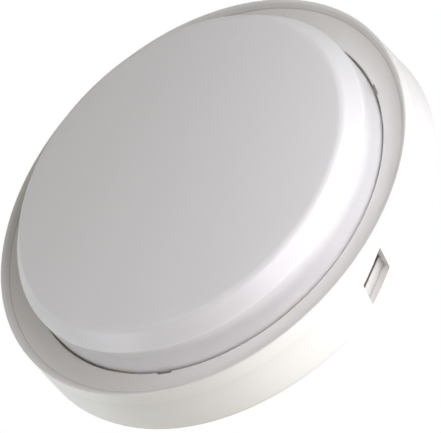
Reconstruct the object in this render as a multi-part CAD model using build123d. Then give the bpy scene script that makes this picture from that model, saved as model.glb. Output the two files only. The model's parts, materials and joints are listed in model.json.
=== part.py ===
from build123d import *
from math import asin, atan2, cos, degrees, hypot, radians, sin
import os

# Round wall light: a drum housing with a bevelled opal diffuser, clipped on a base pan.
# Sizes are in millimetres. Each piece is drawn with the light lying on its back, so that X is
# to the right, Y is up the wall and Z is the distance from the wall, and is then stood up on
# the wall: +Z up, the front towards -Y, and the origin at the middle of the wall face.

# Cuts run past the faces that they open, and joined shapes run into what they grow from
overrun = 1.0
root = 1.0

# Drum housing
drum_radius = 150.0
drum_depth = 40.5
drum_flare = 1.3
drum_wall = 2.2
lip_width = 2.4
lip_round = 1.0
well_drop = 3.7
well_slope = 2.4
ring_fall = 3.8
rear_gap = 0.2
gusset_count = 12
gusset_thickness = 1.6
gusset_height = 9.0
gusset_reach = 8.0

# Diffuser
diffuser_radius = 128.0
diffuser_draft = 0.2
diffuser_stand = 21.9
diffuser_wall = 2.0
bevel_width = 8.7
bevel_height = 11.7
dome_rise = 3.0
crease_round = 2.0
face_round = 6.0
diffuser_gap = 1.4

# Bayonet: lugs on the diffuser, notches in the ring
lug_count = 3
lug_width = 10.0
lug_reach = 2.4
lug_thickness = 2.6
lug_clearance = 0.4
notch_angle = 16.8
notch_clearance = 0.4
bayonet_turn = 9.5
stop_width = 1.6
stop_clearance = 0.3
stop_reach = 2.4

# Diffuser gasket
gasket_thickness = 2.3
gasket_width = 5.0
gasket_skirt = 2.0
gasket_skirt_wall = 1.1
gasket_clearance = 0.1
gasket_flange = 3.2
gasket_flange_thickness = 1.5
tab_angles = (-60.0, -118.6, 60.0, 118.6)
tab_widths = (24.5, 15.0, 24.5, 15.0)
tab_wall = 0.8
tab_rise = 4.4

# Base pan
floor = 3.0
base_round = 1.0
flange_step = 1.0
rim_wall = 2.0
rim_inset = 1.5
rib_count = 12
rib_thickness = 2.0
rib_height = 4.0
rib_clearance = 0.4
fixing_hole_radius = 2.5
fixing_pitch_radius = 85.0
fixing_count = 4
fixing_pad_radius = 7.0
fixing_pad_height = 1.5

# Wall gasket
wall_gasket_inset = 9.3
wall_gasket_width = 6.0
wall_gasket_depth = 1.5
wall_gasket_clearance = 0.1

# Catches, seen through windows in the drum's side
catch_count = 3
catch_angle = -40.8
window_length = 26.0
window_width = 17.5
window_tilt = 13.7
window_rear_margin = 0.49
window_round = 0.8
collar_wall = 1.6
collar_depth = 8.2
nose_depth = 5.6
nose_thickness = 5.8
nose_end_gap = 0.5
nose_rear_gap = 0.25
nose_front_gap = 1.15
nose_slope_width = 6.5
nose_slope_drop = 2.6
nose_round = 0.8
catch_travel = 3.2
neck_width = 18.0
flange_width = 24.0
flange_thickness = 2.6
catch_height = 15.0
catch_floor_gap = 4.5
catch_clearance = 0.2
guide_wall = 2.0
guide_pad = 2.5
guide_lip = 1.8
spring_strip = 0.4
spring_height = 8.0
spring_foot = 2.5
spring_end_gap = 1.0
spring_seat_gap = 0.1
cover_thickness = 1.5
cover_screw_offset = 18.5
cover_margin = 1.0
cover_round = 1.2

# Gear tray and LED board
tray_gap = 8.5
tray_sheet = 1.0
tray_lip = 5.0
tray_drop = 1.5
tray_boss_radius = 4.0
tray_boss_inset = 16.0
tray_screw_count = 4
lead_hole_inset = 12.0
lead_hole_radius = 7.0
board_inset = 21.0
board_width = 55.0
board_thickness = 1.6
led_outer_inset = 9.0
led_inner_inset = 17.0
led_outer_count = 24
led_inner_count = 12
led_length = 3.5
led_width = 2.8
led_height = 0.8
board_screw_count = 4
board_screw_end = 2.0
plug_margin = 1.0
plug_length = 11.0
plug_width = 13.0
plug_height = 5.0
plug_edge = 0.5
plug_latch_inset = 2.0
plug_latch_rise = 0.8

# Driver
driver_length = 116.0
driver_width = 40.0
driver_height = 17.0
driver_lid = 3.0
driver_lid_edge = 0.8
driver_boss_gap = 4.71
driver_lift = 0.2
driver_round = 2.0
driver_tab = 8.0
driver_tab_width = 10.0
driver_tab_thickness = 2.0
driver_tab_offset = 13.0
driver_boss_height = 3.0
driver_boss_radius = 3.6
vent_count = 7
vent_pitch = 6.0
vent_width = 2.0

# Terminal block, cord clamp and cable entry
terminal_length = 36.0
terminal_width = 16.0
terminal_height = 14.0
terminal_poles = 3
terminal_pitch = 12.0
terminal_pole_width = 5.8
terminal_step = 3.0
terminal_gap = 12.0
terminal_hole_radius = 1.7
terminal_screw_radius = 1.9
terminal_screw_sink = 1.0
terminal_screw_rise = 0.3
terminal_screw_clearance = 0.15
terminal_slot_width = 0.6
terminal_slot_depth = 0.7
terminal_screw_bite = 1.2
clamp_gap = 11.5
clamp_length = 32.0
clamp_width = 9.0
clamp_round = 2.5
clamp_thickness = 3.0
clamp_post_height = 6.0
clamp_post_radius = 4.0
clamp_post_offset = 11.0
clamp_arch_radius = 4.0
entry_gap = 11.5
entry_radius = 10.0
entry_lip = 3.0
entry_lip_thickness = 1.2
entry_bore_radius = 4.5
grommet_head = 1.6
grommet_head_wall = 1.5
grommet_clearance = 0.1
grommet_lip_clearance = 0.3

# Leads
lead_radius = 1.0
lead_height = 10.0
lead_bend = 4.0
lead_slot = 1.4
lead_slot_length = 3.0
lead_grip = 3.0
lead_entry = 2.0
mains_lead_poles = (-1, 0)
mains_lead_rise = (3.5, 8.0)
mains_lead_out = (12.5, 8.0)
driver_lead_offset = 4.0
led_lead_y = 3.5
led_lead_out = (8.0, 13.0)

# Screws
screw_radius = 1.5
screw_head_radius = 3.0
screw_head_height = 1.8
screw_slot_width = 0.8
screw_slot_depth = 0.8
screw_fit = 0.05
screw_clearance = 0.2
screw_bite = 6.0
pilot_spare = 1.0

# Sizes that follow
drum_rear_radius = drum_radius + drum_flare
drum_rear = floor + rear_gap
ring_outer_radius = drum_radius - lip_width - well_slope
ring_outer_height = drum_depth - well_drop
ring_inner_radius = diffuser_radius + diffuser_gap
ring_inner_height = ring_outer_height - ring_fall
ring_underside = ring_inner_height - drum_wall
lug_top = ring_underside - lug_clearance
diffuser_base = lug_top - lug_thickness
side_top = ring_inner_height + diffuser_stand
bevel_top = side_top + bevel_height
face_radius = diffuser_radius - diffuser_draft - bevel_width
rim_top = diffuser_base - gasket_thickness
rim_radius = diffuser_radius - rim_inset
rim_inner_radius = rim_radius - rim_wall
base_radius = drum_rear_radius - flange_step
wall_gasket_radius = base_radius - wall_gasket_inset
tray_radius = rim_inner_radius - tray_gap
tray_boss_pitch_radius = tray_radius - tray_boss_inset
tray_top = rim_top - tray_drop + tray_sheet
tray_bottom = tray_top - tray_sheet
board_outer_radius = tray_radius - board_inset
board_inner_radius = board_outer_radius - board_width
board_top = tray_top + board_thickness
led_outer_radius = board_outer_radius - led_outer_inset
led_inner_radius = board_inner_radius + led_inner_inset
board_screw_pitch_radius = (led_outer_radius + led_inner_radius) / 2
lead_hole_x = board_inner_radius - lead_hole_inset
guide_face = rim_radius + guide_pad - guide_wall
catch_bottom = floor + catch_floor_gap
catch_top = catch_bottom + catch_height
guide_top = catch_top + catch_clearance
collar_length = window_length + 2 * collar_wall
collar_width = window_width + 2 * collar_wall
tilt = radians(window_tilt)
window_height = drum_rear + window_rear_margin + (collar_length * sin(tilt) + collar_width * cos(tilt)) / 2
window_share = (drum_depth - window_height) / (drum_depth - drum_rear)
drum_radius_at_window = drum_radius + drum_flare * window_share
nose_face = drum_radius_at_window - nose_depth
nose_back = nose_face - nose_thickness
flange_back = guide_face + spring_strip + catch_travel + 2 * catch_clearance
flange_front = flange_back + flange_thickness
lip_back = flange_front + catch_clearance
lip_front = lip_back + guide_lip
cover_top = guide_top + cover_thickness
tray_boss_reach = tray_boss_pitch_radius * sin(radians(180 / tray_screw_count)) - tray_boss_radius
driver_y = tray_boss_reach - driver_boss_gap - driver_width / 2
driver_bottom = floor + driver_lift
driver_tab_bottom = floor + driver_boss_height
terminal_y = driver_y - (driver_width + terminal_width) / 2 - terminal_gap
terminal_top = floor + terminal_height
clamp_y = terminal_y - (terminal_width + clamp_width) / 2 - clamp_gap
entry_y = clamp_y - clamp_width / 2 - entry_gap - entry_radius


def profile(points, rounds=()):
    """A closed outline of (radius, height) points, with rounds given as (radius, height, size)."""
    outline = make_face(Polyline(*points, close=True))
    for radius, height, size in rounds:
        corner = outline.vertices().sort_by_distance((radius, height, 0))[0]
        outline = fillet(corner, size)
    return outline


def turned(outline):
    """An outline turned full circle about the light's axis."""
    return revolve(Plane.XZ * outline, Axis.Z)


def tube(outer, inner, bottom, top):
    """A plain ring about the light's axis."""
    return turned(profile([(inner, bottom), (outer, bottom), (outer, top), (inner, top)]))


def block(x, y, z):
    """A box from ranges along X, Y and Z."""
    middle = Location(((x[0] + x[1]) / 2, (y[0] + y[1]) / 2, (z[0] + z[1]) / 2))
    return middle * Box(x[1] - x[0], y[1] - y[0], z[1] - z[0])


def rod(radius, bottom, top, x=0.0, y=0.0):
    """An upright cylinder."""
    return Location((x, y, (bottom + top) / 2)) * Cylinder(radius, top - bottom)


def around(shape, count, first=0.0):
    """Copies of a shape spaced evenly about the light's axis."""
    return [Rot(0, 0, first + 360 * i / count) * shape for i in range(count)]


def circle_points(radius, count, first=0.0):
    """Points spaced evenly on a circle about the light's axis."""
    turns = [radians(first + 360 * i / count) for i in range(count)]
    return [(radius * cos(turn), radius * sin(turn)) for turn in turns]


def screw(x, y, seat, length):
    """A slotted pan-head screw whose head rests at seat, its shank going down from it."""
    head = rod(screw_head_radius, seat, seat + screw_head_height, x, y)
    rim = head.faces().sort_by(Axis.Z)[-1].edges()
    head = fillet(rim, screw_head_height / 3)
    top = seat + screw_head_height
    slot = block(
        (x - screw_head_radius, x + screw_head_radius),
        (y - screw_slot_width / 2, y + screw_slot_width / 2),
        (top - screw_slot_depth, top + overrun),
    )
    return head + rod(screw_radius, seat - length, seat, x, y) - slot


def pilot(x, y, top, length):
    """The hole that a screw goes into."""
    return rod(screw_radius + screw_fit, top - length - pilot_spare, top + overrun, x, y)


def screw_hole(x, y, bottom, top):
    """The hole that a screw passes through."""
    return rod(screw_radius + screw_clearance, bottom - overrun, top + overrun, x, y)


def inset_corner(corner, first, second, depth):
    """A corner of an outline moved inwards by depth from both of its sides' outward normals."""
    share = depth / (1 + first[0] * second[0] + first[1] * second[1])
    return (corner[0] - share * (first[0] + second[0]), corner[1] - share * (first[1] + second[1]))


def diffuser_outline(depth, bottom):
    """Half of the diffuser's section, moved inwards by depth, as a closed face down to bottom."""
    dome_radius = (face_radius**2 + dome_rise**2) / (2 * dome_rise)
    dome_centre = bevel_top + dome_rise - dome_radius
    slope = asin(face_radius / dome_radius)
    bevel_angle = atan2(bevel_width, bevel_height)
    side_normal = (1.0, 0.0)
    bevel_normal = (cos(bevel_angle), sin(bevel_angle))
    face_normal = (sin(slope), cos(slope))
    shoulder = inset_corner((diffuser_radius - diffuser_draft, side_top), side_normal, bevel_normal, depth)
    edge = inset_corner((face_radius, bevel_top), bevel_normal, face_normal, depth)
    edge_radius = hypot(edge[0], edge[1] - dome_centre)
    centre = (0.0, dome_centre + edge_radius)
    half_slope = asin(edge[0] / edge_radius) / 2
    half_way = (edge_radius * sin(half_slope), dome_centre + edge_radius * cos(half_slope))
    dome = ThreePointArc(edge, half_way, centre)
    sides = Polyline(centre, (0.0, bottom), (diffuser_radius - depth, bottom), shoulder, edge)
    outline = make_face(Curve() + [dome, sides])
    for corner, size in ((shoulder, crease_round), (edge, face_round)):
        nearest = outline.vertices().sort_by_distance((corner[0], corner[1], 0))[0]
        outline = fillet(nearest, size - depth / 2)
    return outline


def drum_section():
    """Section of the drum housing: side wall, lip, sloped inner wall and ring."""
    inner_top_radius = drum_radius - drum_wall
    inner_top = ring_outer_height - drum_wall
    points = [
        (drum_rear_radius, drum_rear),
        (drum_radius, drum_depth),
        (drum_radius - lip_width, drum_depth),
        (ring_outer_radius, ring_outer_height),
        (ring_inner_radius, ring_inner_height),
        (ring_inner_radius, ring_underside),
        (inner_top_radius, inner_top),
        (drum_rear_radius - drum_wall, drum_rear),
    ]
    rounds = [
        (drum_radius, drum_depth, lip_round),
        (drum_radius - lip_width, drum_depth, lip_round),
        (ring_outer_radius, ring_outer_height, lip_round / 2),
        (drum_rear_radius, drum_rear, drum_wall / 4),
    ]
    return profile(points, rounds)


def window_block(length, width, back, front, shift=0.0):
    """A box in line with a side window, drawn at angle zero. Shift moves it across the window."""
    placed = Location((0, 0, window_height)) * Rot(window_tilt, 0, 0)
    return placed * block((back, front), (-length / 2, length / 2), (shift - width / 2, shift + width / 2))


def drum_housing():
    """White outer moulding: wall, lip, ring with bayonet notches, window collars and gussets."""
    drum = turned(drum_section())
    outside = drum_rear_radius + overrun
    collar_end = drum_radius_at_window - collar_depth
    skin = drum_radius_at_window - drum_wall / 2
    collar = window_block(collar_length, collar_width, collar_end, skin)
    drum += around(collar, catch_count, catch_angle)
    opening = window_block(window_length, window_width, collar_end - overrun, outside)
    corners = opening.edges().filter_by(Axis.X)
    drum -= around(fillet(corners, window_round), catch_count, catch_angle)
    notch_half = lug_width / 2 + notch_clearance
    notch = block(
        (diffuser_radius, diffuser_radius + lug_reach + notch_clearance),
        (-notch_half, notch_half),
        (ring_underside - overrun, ring_outer_height),
    )
    drum -= around(notch, lug_count, notch_angle)
    stop_start = degrees((lug_width / 2 + stop_clearance + stop_width / 2) / diffuser_radius)
    stop = block(
        (ring_inner_radius + stop_clearance, ring_inner_radius + stop_reach),
        (-stop_width / 2, stop_width / 2),
        (diffuser_base + stop_clearance, ring_underside + drum_wall / 2),
    )
    drum += around(stop, lug_count, notch_angle - bayonet_turn - stop_start)
    inside = drum_radius - drum_wall / 2
    gusset = block(
        (inside - gusset_reach, inside),
        (-gusset_thickness / 2, gusset_thickness / 2),
        (ring_outer_height - drum_wall - gusset_height, ring_outer_height - drum_wall / 2),
    )
    slope_cut = gusset.edges().filter_by(Axis.Y).sort_by(Axis.Z)[:2].sort_by(Axis.X)[0]
    gusset = chamfer(slope_cut, gusset_reach - drum_wall)
    drum += around(gusset, gusset_count, catch_angle + 180 / gusset_count)
    return drum


def diffuser():
    """Opal moulding: side wall, bevel band, domed face and three bayonet lugs."""
    shell = turned(diffuser_outline(0.0, diffuser_base))
    shell -= turned(diffuser_outline(diffuser_wall, diffuser_base - overrun))
    lug = block(
        (diffuser_radius - diffuser_wall / 2, diffuser_radius + lug_reach),
        (-lug_width / 2, lug_width / 2),
        (diffuser_base, lug_top),
    )
    lug = fillet(lug.edges().filter_by(Axis.Z).sort_by(Axis.X)[-2:], lug_reach / 4)
    return shell + around(lug, lug_count, notch_angle - bayonet_turn)


def diffuser_gasket():
    """Silicone ring astride the base pan's rim, with a flange and tabs in the gap round the diffuser."""
    middle = rim_radius - rim_wall / 2
    outer = middle + gasket_width / 2
    inner = middle - gasket_width / 2
    flange_edge = outer + gasket_flange
    flange_bottom = diffuser_base - gasket_flange_thickness
    slack = rim_wall / 2 + gasket_clearance
    bottom = rim_top - gasket_skirt
    gasket = turned(
        profile(
            [
                (inner, diffuser_base),
                (inner, bottom),
                (inner + gasket_skirt_wall, bottom),
                (middle - slack, rim_top),
                (middle + slack, rim_top),
                (outer - gasket_skirt_wall, bottom),
                (outer, bottom),
                (outer, flange_bottom),
                (flange_edge, flange_bottom),
                (flange_edge, diffuser_base),
            ]
        )
    )
    tab_outer = ring_inner_radius - (diffuser_gap - tab_wall) / 2
    tab_top = diffuser_base + tab_rise
    for angle, width in zip(tab_angles, tab_widths):
        stretch = block((middle, flange_edge), (-width / 2, width / 2), (flange_bottom, tab_top))
        tab = tube(tab_outer, tab_outer - tab_wall, flange_bottom, tab_top) & stretch
        gasket += Rot(0, 0, angle) * tab
    return gasket


def base_pan():
    """Rear moulding: floor, flange, sealing rim, ribs, catch guides, bosses and entry."""
    plate = [(0, 0), (base_radius, 0), (base_radius, floor), (0, floor)]
    pan = turned(profile(plate, [(base_radius, 0, base_round)]))
    pan += tube(rim_radius, rim_inner_radius, floor, rim_top)
    rib_start = rim_radius - rim_wall / 2
    rib_end = drum_rear_radius - drum_wall - rib_clearance
    rib_half = rib_thickness / 2
    rib = block((rib_start, rib_end), (-rib_half, rib_half), (floor, floor + rib_height))
    rib = chamfer(rib.edges().filter_by(Axis.Y).sort_by(Axis.Z)[-2:].sort_by(Axis.X)[-1], rib_height / 2)
    pan += around(rib, rib_count, catch_angle + 180 / rib_count)
    pan += around(catch_guide(), catch_count, catch_angle)
    for x, y in circle_points(fixing_pitch_radius, fixing_count):
        pan += rod(fixing_pad_radius, floor, floor + fixing_pad_height, x, y)
    holes = []
    for x, y in tray_screw_points():
        pan += rod(tray_boss_radius, floor, tray_bottom, x, y)
        holes.append(pilot(x, y, tray_bottom, screw_bite))
    for x, y in driver_screw_points():
        pan += rod(driver_boss_radius, floor, driver_tab_bottom, x, y)
        holes.append(pilot(x, y, driver_tab_bottom, driver_boss_height))
    for x, y in clamp_screw_points():
        pan += rod(clamp_post_radius, floor, floor + clamp_post_height, x, y)
        holes.append(pilot(x, y, floor + clamp_post_height, screw_bite))
    for x, y in terminal_screw_points():
        pan += rod(terminal_screw_radius, floor, floor + driver_lift, x, y)
        holes.append(pilot(x, y, floor, terminal_screw_bite))
    for x, y in circle_points(fixing_pitch_radius, fixing_count):
        holes.append(rod(fixing_hole_radius, -overrun, floor + fixing_pad_height + overrun, x, y))
    holes.append(rod(entry_radius, -overrun, floor + overrun, 0, entry_y))
    holes.append(rod(entry_radius + entry_lip, -overrun, entry_lip_thickness, 0, entry_y))
    groove_half = wall_gasket_width / 2 + wall_gasket_clearance
    groove = (wall_gasket_radius + groove_half, wall_gasket_radius - groove_half)
    holes.append(tube(*groove, -overrun, wall_gasket_depth))
    return pan - holes


def catch_guide():
    """Guide of one catch, drawn at angle zero: pad, two walls with lips, and two screw bosses."""
    inner_half = flange_width / 2 + catch_clearance
    outer_half = inner_half + guide_wall
    lip_half = neck_width / 2 + catch_clearance
    start = rim_radius - rim_wall / 2
    guide = block((start, guide_face), (-outer_half, outer_half), (floor, guide_top))
    for side in (-1, 1):
        wall = sorted((side * inner_half, side * outer_half))
        lip = sorted((side * lip_half, side * outer_half))
        guide += block((start, lip_front), wall, (floor, guide_top))
        guide += block((lip_back, lip_front), lip, (floor, guide_top))
        x, y = cover_screw_point(side)
        guide += rod(tray_boss_radius, floor, guide_top, x, y)
        web = sorted((y, side * inner_half))
        guide += block((start, x), web, (floor, guide_top - cover_thickness))
        guide -= pilot(x, y, guide_top, screw_bite)
    return guide


def cover_screw_point(side):
    """Where a catch cover's screw goes, drawn at angle zero."""
    return (guide_face + (lip_front - guide_face) / 2, side * cover_screw_offset)


def catch():
    """Sprung catch, drawn at angle zero: nose with a lead-in slope, neck and stop flange.

    The back of the nose is relieved where it would meet its guide and cover when pressed right in.
    """
    nose_length = window_length - 2 * nose_end_gap
    nose_width = window_width - nose_rear_gap - nose_front_gap
    shift = (nose_rear_gap - nose_front_gap) / 2
    nose = window_block(nose_length, nose_width, nose_back, nose_face, shift)
    placed = Location((0, 0, window_height)) * Rot(window_tilt, 0, 0)
    front_edge = shift + nose_width / 2
    slope = Polyline(
        (nose_face, front_edge - nose_slope_width),
        (nose_face + overrun, front_edge - nose_slope_width),
        (nose_face + overrun, front_edge + overrun),
        (nose_face - nose_slope_drop, front_edge + overrun),
        (nose_face - nose_slope_drop, front_edge),
        close=True,
    )
    wedge = extrude(Plane.XZ * make_face(slope), nose_length / 2 + overrun, both=True)
    nose -= placed * wedge
    ends = nose.edges().filter_by(Axis.X)
    nose = fillet(ends, nose_round)
    neck_sides = (-neck_width / 2, neck_width / 2)
    flange_sides = (-flange_width / 2, flange_width / 2)
    relief_depth = (flange_front, lip_front + catch_travel + catch_clearance)
    relief_height = (floor, cover_top + catch_clearance)
    relief = block(relief_depth, (-window_length / 2, window_length / 2), relief_height)
    relief -= block(relief_depth, neck_sides, (floor, catch_top))
    nose -= relief
    neck = block((flange_back, nose_back + root), neck_sides, (catch_bottom, catch_top))
    flange = block((flange_back, flange_front), flange_sides, (catch_bottom, catch_top))
    return nose + neck + flange


def catch_spring():
    """Bowed strip of spring steel between the guide's pad and the catch, drawn at angle zero."""
    half = flange_width / 2 - spring_end_gap
    back = guide_face + spring_seat_gap
    crown = flange_back - spring_seat_gap - spring_strip
    low = catch_bottom + (catch_height - spring_height) / 2
    chord = half - spring_foot
    rise = crown - back
    bow_radius = (chord**2 + rise**2) / (2 * rise)
    outer_radius = bow_radius + spring_strip
    lean = asin(chord / bow_radius)
    centre = crown - bow_radius
    heel = (centre + outer_radius * cos(lean), outer_radius * sin(lean))
    toe = (back + spring_strip, half)
    bow = make_face(
        Curve()
        + [
            ThreePointArc((back, -chord), (crown, 0), (back, chord)),
            Line((back, chord), (back, half)),
            Line((back, half), toe),
            Line(toe, heel),
            ThreePointArc(heel, (crown + spring_strip, 0), (heel[0], -heel[1])),
            Line((heel[0], -heel[1]), (toe[0], -toe[1])),
            Line((toe[0], -toe[1]), (back, -half)),
            Line((back, -half), (back, -chord)),
        ]
    )
    return Location((0, 0, low)) * extrude(bow, spring_height)


def catch_cover():
    """Plate that keeps one catch in its guide, drawn at angle zero."""
    half = cover_screw_offset + screw_head_radius + cover_margin
    inner = rim_radius + gasket_width / 2
    plate = block((inner, lip_front), (-half, half), (guide_top, cover_top))
    plate = fillet(plate.edges().filter_by(Axis.Z), cover_round)
    for side in (-1, 1):
        plate -= screw_hole(*cover_screw_point(side), guide_top, cover_top)
    return plate


def catch_cover_screws():
    """Two screws in each catch cover."""
    pair = [screw(*cover_screw_point(side), cover_top, screw_bite) for side in (-1, 1)]
    return [copy for one in pair for copy in around(one, catch_count, catch_angle)]


def wall_gasket():
    """Foam ring in the groove of the base pan's rear face."""
    half = wall_gasket_width / 2
    return tube(wall_gasket_radius + half, wall_gasket_radius - half, 0, wall_gasket_depth)


def cable_grommet():
    """Rubber grommet in the cable entry, flush with the rear face."""
    head = entry_radius + entry_lip - grommet_lip_clearance
    groove = entry_radius - grommet_clearance
    outline = profile(
        [
            (entry_bore_radius, 0),
            (head, 0),
            (head, entry_lip_thickness),
            (groove, entry_lip_thickness),
            (groove, floor),
            (head, floor),
            (entry_bore_radius + grommet_head_wall, floor + grommet_head),
            (entry_bore_radius, floor + grommet_head),
        ]
    )
    return Location((0, entry_y, 0)) * turned(outline)


def tray_screw_points():
    """Centres of the gear tray's screws."""
    return circle_points(tray_boss_pitch_radius, tray_screw_count, 180 / tray_screw_count)


def board_screw_points():
    """Centres of the LED board's screws."""
    return circle_points(board_screw_pitch_radius, board_screw_count)


def clamp_screw_points():
    """Centres of the cord clamp's screws."""
    return [(side * clamp_post_offset, clamp_y) for side in (-1, 1)]


def driver_screw_points():
    """Centres of the two driver screws, at opposite ends and corners."""
    reach = driver_length / 2 + driver_tab / 2
    return [(-reach, driver_y - driver_tab_offset), (reach, driver_y + driver_tab_offset)]


def driver_case():
    """Driver's lower shell with a screw tab at each end."""
    half, side = driver_length / 2, driver_width / 2
    top = driver_bottom + driver_height - driver_lid
    case = block((-half, half), (driver_y - side, driver_y + side), (driver_bottom, top))
    case = fillet(case.edges().filter_by(Axis.Z), driver_round)
    tab_top = driver_tab_bottom + driver_tab_thickness
    for x, y in driver_screw_points():
        inward = -1 if x > 0 else 1
        case += block(
            sorted((x + inward * (driver_tab / 2 + root), x - inward * driver_tab / 2)),
            (y - driver_tab_width / 2, y + driver_tab_width / 2),
            (driver_tab_bottom, tab_top),
        )
        case -= screw_hole(x, y, driver_tab_bottom, tab_top)
    for end in (-1, 1):
        reach = sorted((end * (half - lead_slot_length), end * (half + overrun)))
        for row in (-1, 1):
            y = driver_y + row * driver_lead_offset
            case -= block(reach, (y - lead_slot, y + lead_slot), (lead_height - lead_slot, top + overrun))
    return case


def driver_cover():
    """Driver's lid, lipped over the lower shell, with a row of vent slots."""
    half, side = driver_length / 2, driver_width / 2
    bottom = driver_bottom + driver_height - driver_lid
    lid = block((-half, half), (driver_y - side, driver_y + side), (bottom, bottom + driver_lid))
    lid = fillet(lid.edges().filter_by(Axis.Z), driver_round)
    lid = chamfer(lid.faces().sort_by(Axis.Z)[-1].edges(), driver_lid_edge)
    vent_sides = (driver_y - side / 2, driver_y + side / 2)
    vent_depth = (bottom + driver_lid / 2, bottom + driver_lid + overrun)
    for i in range(vent_count):
        x = (i - (vent_count - 1) / 2) * vent_pitch
        lid -= block((x - vent_width / 2, x + vent_width / 2), vent_sides, vent_depth)
    return lid


def terminal_screw_points():
    """Centres of the terminal block's two fixing screws, between its poles."""
    return [(side * terminal_pitch / 2, terminal_y) for side in (-1, 1)]


def terminal_points():
    """Centres of the terminal screws: two rows along the block."""
    rows = (-terminal_width / 4, terminal_width / 4)
    first = -(terminal_poles - 1) / 2
    return [((first + i) * terminal_pitch, terminal_y + row) for i in range(terminal_poles) for row in rows]


def terminal_block():
    """Three-pole terminal block with its wire ways and screw wells."""
    seat = floor + driver_lift
    half = terminal_length / 2
    sides = (terminal_y - terminal_width / 2, terminal_y + terminal_width / 2)
    body = block((-half, half), sides, (seat, terminal_top - terminal_step))
    way = Rot(90, 0, 0) * Cylinder(terminal_hole_radius, terminal_width + 2 * overrun)
    for i in range(terminal_poles):
        x = (i - (terminal_poles - 1) / 2) * terminal_pitch
        pole = (x - terminal_pole_width / 2, x + terminal_pole_width / 2)
        body += block(pole, sides, (seat, terminal_top))
        body -= Location((x, terminal_y, lead_height)) * way
    for x, y in terminal_points():
        well = terminal_screw_radius + terminal_screw_clearance
        body -= rod(well, lead_height, terminal_top + overrun, x, y)
    for x, y in terminal_screw_points():
        body -= screw_hole(x, y, seat, terminal_top)
    return body


def terminal_screws():
    """Brass clamping screws of the terminal block."""
    bottom = lead_height + terminal_hole_radius + terminal_screw_rise
    top = terminal_top - terminal_screw_sink
    slot_depth = (top - terminal_slot_depth, top + overrun)
    found = []
    for x, y in terminal_points():
        one = rod(terminal_screw_radius, bottom, top, x, y)
        slot = block(
            (x - 2 * terminal_screw_radius, x + 2 * terminal_screw_radius),
            (y - terminal_slot_width / 2, y + terminal_slot_width / 2),
            slot_depth,
        )
        found.append(one - slot)
    return found


def cord_clamp():
    """Arched bar that grips the cord's sheath."""
    bottom = floor + clamp_post_height
    half, side = clamp_length / 2, clamp_width / 2
    bar = block((-half, half), (clamp_y - side, clamp_y + side), (bottom, bottom + clamp_thickness))
    bar = fillet(bar.edges().filter_by(Axis.Z), clamp_round)
    arch = Location((0, clamp_y, bottom - clamp_arch_radius / 2)) * Rot(90, 0, 0)
    bar -= arch * Cylinder(clamp_arch_radius, clamp_width + 2 * overrun)
    for x, y in clamp_screw_points():
        bar -= screw_hole(x, y, bottom, bottom + clamp_thickness)
    return bar


def gear_tray():
    """White steel plate with a turned-up edge that carries the LED board."""
    sheet = turned(
        profile(
            [
                (0, tray_bottom),
                (tray_radius, tray_bottom),
                (tray_radius, tray_bottom + tray_lip),
                (tray_radius - tray_sheet, tray_bottom + tray_lip),
                (tray_radius - tray_sheet, tray_top),
                (0, tray_top),
            ],
            [(tray_radius, tray_bottom, tray_sheet * 0.8)],
        )
    )
    holes = [rod(lead_hole_radius, tray_bottom - overrun, tray_top + overrun, lead_hole_x, 0)]
    holes += [screw_hole(x, y, tray_bottom, tray_top) for x, y in tray_screw_points()]
    holes += [pilot(x, y, tray_top, tray_sheet) for x, y in board_screw_points()]
    return sheet - holes


def led_board():
    """Ring-shaped aluminium-core board."""
    ring = tube(board_outer_radius, board_inner_radius, tray_top, board_top)
    for x, y in board_screw_points():
        ring -= screw_hole(x, y, tray_top, board_top)
    return ring


def led_packages():
    """LED packages in two rings, each ring turned half a step from the other."""
    rows = ((led_outer_radius, led_outer_count), (led_inner_radius, led_inner_count))
    found = []
    for row, (radius, count) in enumerate(rows):
        one = block(
            (radius - led_width / 2, radius + led_width / 2),
            (-led_length / 2, led_length / 2),
            (board_top, board_top + led_height),
        )
        found += around(one, count, (row + 1) * 180 / count)
    return found


def led_plug():
    """Plug that joins the driver's output leads to the board."""
    start = board_inner_radius + plug_margin
    top = board_top + plug_height
    body = block((start, start + plug_length), (-plug_width / 2, plug_width / 2), (board_top, top))
    latch = block(
        (start + plug_latch_inset, start + plug_length - plug_latch_inset),
        (-plug_width / 6, plug_width / 6),
        (top - plug_edge, top + plug_latch_rise),
    )
    return chamfer(body.faces().sort_by(Axis.Z)[-1].edges(), plug_edge) + latch


def lead(points, bend):
    """An insulated lead along straight runs joined by arcs."""
    route = FilletPolyline(*points, radius=bend)
    start = Plane(origin=points[0], z_dir=Vector(*points[1]) - Vector(*points[0]))
    return sweep(start * Circle(lead_radius), route)


def mains_lead(index):
    """Lead from the terminal block round the driver's left end."""
    z = lead_height
    row = 1 if index == 0 else -1
    block_edge = terminal_y + terminal_width / 2
    y = block_edge + mains_lead_rise[index]
    end_y = driver_y + row * driver_lead_offset
    out = -driver_length / 2 - mains_lead_out[index]
    pole = mains_lead_poles[index] * terminal_pitch
    return lead(
        [
            (pole, block_edge - lead_grip, z),
            (pole, y, z),
            (out, y, z),
            (out, end_y, z),
            (-driver_length / 2 + lead_entry, end_y, z),
        ],
        min(lead_bend, (mains_lead_rise[0] + lead_grip) / 2),
    )


def led_lead(index):
    """Lead from the driver's right end up through the tray to the board's plug."""
    z = lead_height
    row = -1 if index == 0 else 1
    y = -row * led_lead_y
    end_y = driver_y + row * driver_lead_offset
    out = driver_length / 2 + led_lead_out[index]
    top = board_top + plug_height / 2
    return lead(
        [
            (driver_length / 2 - lead_entry, end_y, z),
            (out, end_y, z),
            (out, y, z),
            (lead_hole_x, y, z),
            (lead_hole_x, y, top),
            (board_inner_radius + plug_margin, y, top),
        ],
        lead_bend,
    )


def screws_at(points, seat, length):
    """A group of equal screws."""
    return [screw(x, y, seat, length) for x, y in points]


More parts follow.
